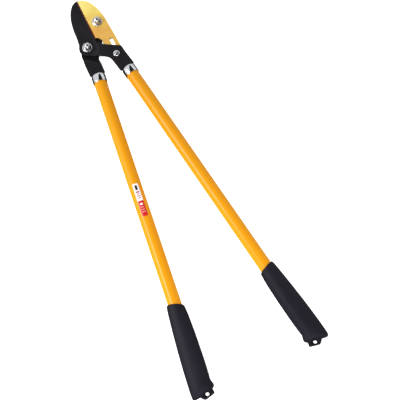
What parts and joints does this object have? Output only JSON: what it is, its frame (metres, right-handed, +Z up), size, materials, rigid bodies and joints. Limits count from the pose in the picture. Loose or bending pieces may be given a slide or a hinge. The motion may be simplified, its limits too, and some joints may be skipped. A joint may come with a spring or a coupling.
{
  "type": "compound anvil loppers",
  "caption": "Long-handled compound loppers: a curved blade closes on a brass-faced anvil jaw through linked pivots, with tubular handles and rubber grips that hang by lug holes.",
  "frame": {"origin": "centre of the bounding box's underside, jaws closed: midway between the handles, midway from the jaw tip to the hanging lugs, on the surface the tool lies on", "axes": "+Y from the grips to the jaws along the cutting line, +X to the side of the moving handle, +Z up, through the plates"},
  "size_m": [0.2358, 0.7214, 0.0331],
  "materials": {
    "black_arm": "satin black powder coat on pressed steel",
    "gold_blade": "gold-coloured hard coating on ground steel",
    "anvil_brass": "dull copper-brown brass",
    "bush_bronze": "turned bronze",
    "roller_steel": "turned steel",
    "insert_nylon": "moulded nylon",
    "tube_enamel": "glossy yellow-orange enamel on steel tube",
    "grip_rubber": "matt blue-black moulded rubber",
    "band_film": "printed film, white and red",
    "ferrule_chrome": "bright chrome plate",
    "pin_steel": "drawn steel",
    "hardware_chrome": "bright zinc and chrome plate"
  },
  "bodies": {
    "fixed_handle": {"left_arm": "black_arm", "main_pivot_bolt": "hardware_chrome", "main_pivot_bush": "bush_bronze", "main_pivot_washer": "hardware_chrome", "main_pivot_nut": "hardware_chrome", "blade_pivot_bolt": "hardware_chrome", "blade_pivot_bush": "bush_bronze", "blade_pivot_washer": "hardware_chrome", "blade_pivot_nut": "hardware_chrome", "left_ferrule": "ferrule_chrome", "left_tang_insert": "insert_nylon", "left_tang_pin": "pin_steel", "left_tube": "tube_enamel", "left_tube_plug": "insert_nylon", "left_grip": "grip_rubber", "tube_label": "band_film"},
    "moving_handle": {"jaw_arm": "black_arm", "anvil_strip": "anvil_brass", "guide_screw": "hardware_chrome", "guide_washer": "hardware_chrome", "guide_nut": "hardware_chrome", "right_ferrule": "ferrule_chrome", "right_tang_insert": "insert_nylon", "right_tang_pin": "pin_steel", "right_tube": "tube_enamel", "right_tube_plug": "insert_nylon", "right_grip": "grip_rubber"},
    "blade": {"cutting_blade": "gold_blade"},
    "roller": {"guide_roller": "roller_steel"}
  },
  "joints": [
    {"name": "handle_pivot", "type": "hinge", "parent": "fixed_handle", "child": "moving_handle", "pos_m": [-0.0205, 0.26921, 0.0117], "axis": [0, 0, 1], "range_deg": [0, 40]},
    {"name": "blade_turn", "type": "hinge", "parent": "fixed_handle", "child": "blade", "pos_m": [0.0146, 0.30821, 0.0117], "axis": [0, 0, 1], "range_deg": [0, 11.6]},
    {"name": "roller_spin", "type": "hinge", "parent": "moving_handle", "child": "roller", "pos_m": [0.0196, 0.2357, 0.0117], "axis": [0, 0, 1], "continuous": true}
  ],
  "couplings": [
    {"joint": "blade_turn", "follows": "handle_pivot", "ratio": 0.29}
  ]
}
